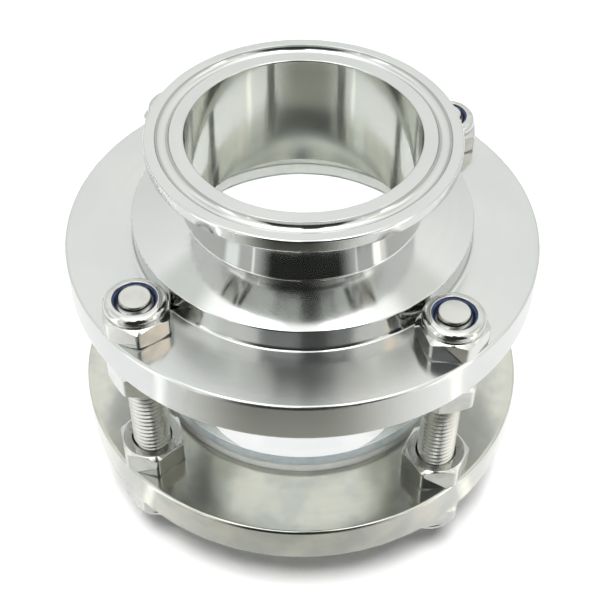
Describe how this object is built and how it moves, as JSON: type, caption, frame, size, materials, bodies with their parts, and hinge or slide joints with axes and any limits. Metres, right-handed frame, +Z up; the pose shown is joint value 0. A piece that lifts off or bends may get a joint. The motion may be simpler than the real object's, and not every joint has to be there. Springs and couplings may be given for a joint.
{
  "type": "sanitary sight glass",
  "caption": "Flanged inline sight glass: a clear tube held between round steel flanges by threaded tie rods and nuts, with a bore through it and a clamp ferrule at each end.",
  "frame": {"origin": "centre of the lower clamp face, which the fitting stands on", "axes": "+Z up along the flow axis, from the lower clamp face to the upper one; +X and +Y midway between the tie rods"},
  "size_m": [0.1008, 0.1008, 0.1013],
  "materials": {
    "flange_steel": "turned and polished stainless steel",
    "nut_steel": "bright cold-formed stainless steel",
    "stud_steel": "rolled thread, stainless steel",
    "clear_glass": "clear polished tube with ground ends",
    "gasket": "pale translucent silicone",
    "nylon": "dark blue nylon"
  },
  "bodies": {
    "root": {"top_flange": "flange_steel", "bottom_flange": "flange_steel", "glass_tube": "clear_glass", "top_gasket": "gasket", "bottom_gasket": "gasket", "stud_1": "stud_steel", "upper_lock_nut_1": "nut_steel", "upper_nylon_ring_1": "nylon", "upper_hex_nut_1": "nut_steel", "lower_hex_nut_1": "nut_steel", "lower_lock_nut_1": "nut_steel", "lower_nylon_ring_1": "nylon", "stud_2": "stud_steel", "upper_lock_nut_2": "nut_steel", "upper_nylon_ring_2": "nylon", "upper_hex_nut_2": "nut_steel", "lower_hex_nut_2": "nut_steel", "lower_lock_nut_2": "nut_steel", "lower_nylon_ring_2": "nylon", "stud_3": "stud_steel", "upper_lock_nut_3": "nut_steel", "upper_nylon_ring_3": "nylon", "upper_hex_nut_3": "nut_steel", "lower_hex_nut_3": "nut_steel", "lower_lock_nut_3": "nut_steel", "lower_nylon_ring_3": "nylon", "stud_4": "stud_steel", "upper_lock_nut_4": "nut_steel", "upper_nylon_ring_4": "nylon", "upper_hex_nut_4": "nut_steel", "lower_hex_nut_4": "nut_steel", "lower_lock_nut_4": "nut_steel", "lower_nylon_ring_4": "nylon"}
  },
  "joints": []
}
